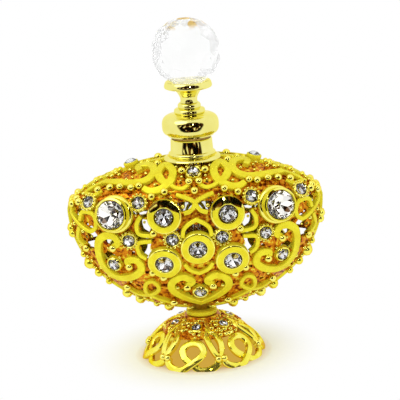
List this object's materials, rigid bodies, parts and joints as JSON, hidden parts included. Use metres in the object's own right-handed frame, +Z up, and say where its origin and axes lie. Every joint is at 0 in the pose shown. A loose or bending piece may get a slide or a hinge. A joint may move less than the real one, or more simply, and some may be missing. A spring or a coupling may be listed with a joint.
{
  "type": "decorative perfume bottle",
  "caption": "Pillow-shaped openwork gilt perfume bottle set with clear stones, on a flared pierced foot, with a pull-out stopper topped by a faceted clear ball.",
  "frame": {"origin": "on the bottle's axis, at the floor under its foot", "axes": "+Z up along the neck, X along the casing's width, and the front of the casing looks along -Y"},
  "size_m": [0.0764, 0.0378, 0.1017],
  "materials": {
    "cast_gold": "bright gold plate on an openwork casting",
    "polished_gold": "mirror-polished gold plate on turned metal",
    "crystal": "clear faceted crystal",
    "vial_glass": "clear smooth glass",
    "plain_brass": "plain turned brass",
    "polymer": "natural white polymer"
  },
  "bodies": {
    "bottle": {"back_casing": "cast_gold", "back_centre_ring_stone": "crystal", "back_heart_stone": "crystal", "back_inner_stone_left": "crystal", "back_inner_stone_right": "crystal", "back_large_stone_left": "crystal", "back_large_stone_right": "crystal", "back_lower_ring_stone_left": "crystal", "back_lower_ring_stone_right": "crystal", "back_shoulder_stone": "crystal", "back_upper_ring_stone_left": "crystal", "back_upper_ring_stone_right": "crystal", "back_upper_stone_left": "crystal", "back_upper_stone_right": "crystal", "casing_base": "plain_brass", "crown_setting_left": "cast_gold", "crown_setting_right": "cast_gold", "crown_stone_left": "crystal", "crown_stone_right": "crystal", "foot": "cast_gold", "foot_screw": "plain_brass", "foot_stone_1": "crystal", "foot_stone_2": "crystal", "foot_stone_3": "crystal", "foot_stone_4": "crystal", "foot_stone_5": "crystal", "foot_stone_6": "crystal", "front_casing": "cast_gold", "front_centre_ring_stone": "crystal", "front_corner_stone_left": "crystal", "front_corner_stone_right": "crystal", "front_heart_stone": "crystal", "front_inner_stone_left": "crystal", "front_inner_stone_right": "crystal", "front_large_stone_left": "crystal", "front_large_stone_right": "crystal", "front_lower_ring_stone_left": "crystal", "front_lower_ring_stone_right": "crystal", "front_outer_stone_left": "crystal", "front_outer_stone_right": "crystal", "front_scroll_stone_left": "crystal", "front_scroll_stone_right": "crystal", "front_shoulder_stone": "crystal", "front_upper_ring_stone_left": "crystal", "front_upper_ring_stone_right": "crystal", "front_upper_stone_left": "crystal", "front_upper_stone_right": "crystal", "glass_vial": "vial_glass", "neck_collar": "polished_gold", "vial_cushion": "polymer", "waist_ring": "polished_gold"},
    "seal": {"seal_washer": "polymer"},
    "stopper": {"stopper_bulb": "polished_gold", "stopper_stem": "polished_gold", "ball_cup": "polished_gold", "crystal_ball": "crystal", "stopper_stud": "plain_brass", "stopper_plug": "polymer", "dauber_rod": "vial_glass"}
  },
  "joints": [
    {"name": "stopper_twist", "type": "hinge", "parent": "bottle", "child": "seal", "pos_m": [0, 0, 0.0668], "axis": [0, 0, 1], "continuous": true},
    {"name": "stopper_lift", "type": "slide", "parent": "seal", "child": "stopper", "axis": [0, 0, 1], "range_m": [0, 0.04]}
  ]
}
